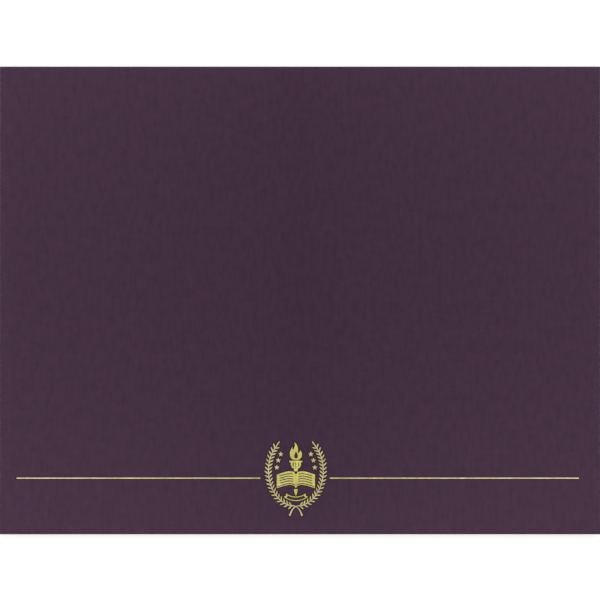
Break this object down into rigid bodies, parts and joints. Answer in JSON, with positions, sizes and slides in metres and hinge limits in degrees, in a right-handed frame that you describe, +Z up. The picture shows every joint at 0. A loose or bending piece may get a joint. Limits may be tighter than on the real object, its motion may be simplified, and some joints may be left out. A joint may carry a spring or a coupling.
{
  "type": "diploma cover",
  "caption": "Folded card cover for a letter-size certificate, with a foil emblem and foil rules on the front leaf and corner slits in the back leaf.",
  "frame": {"origin": "middle of the closed cover, on the surface that its back leaf lies on", "axes": "+X along the fold, to the right of the emblem; +Y from the free edges towards the fold, the top of the emblem; +Z up, out of the front leaf"},
  "size_m": [0.3048, 0.2372, 0.0037],
  "materials": {
    "card": "matte",
    "foil": "satin"
  },
  "bodies": {
    "back": {"back_cover": "card"},
    "front": {"front_cover": "card", "foil_rule_left": "foil", "foil_rule_right": "foil", "foil_wreath": "foil", "foil_flame": "foil", "foil_torch": "foil", "foil_torch_foot": "foil", "foil_book": "foil", "foil_ribbon": "foil", "foil_star_left_1": "foil", "foil_star_left_2": "foil", "foil_star_left_3": "foil", "foil_star_right_1": "foil", "foil_star_right_2": "foil", "foil_star_right_3": "foil"}
  },
  "joints": [
    {"name": "fold", "type": "hinge", "parent": "back", "child": "front", "pos_m": [0, 0.1188, 0.0008], "axis": [-1, 0, 0], "range_deg": [0, 179]}
  ]
}
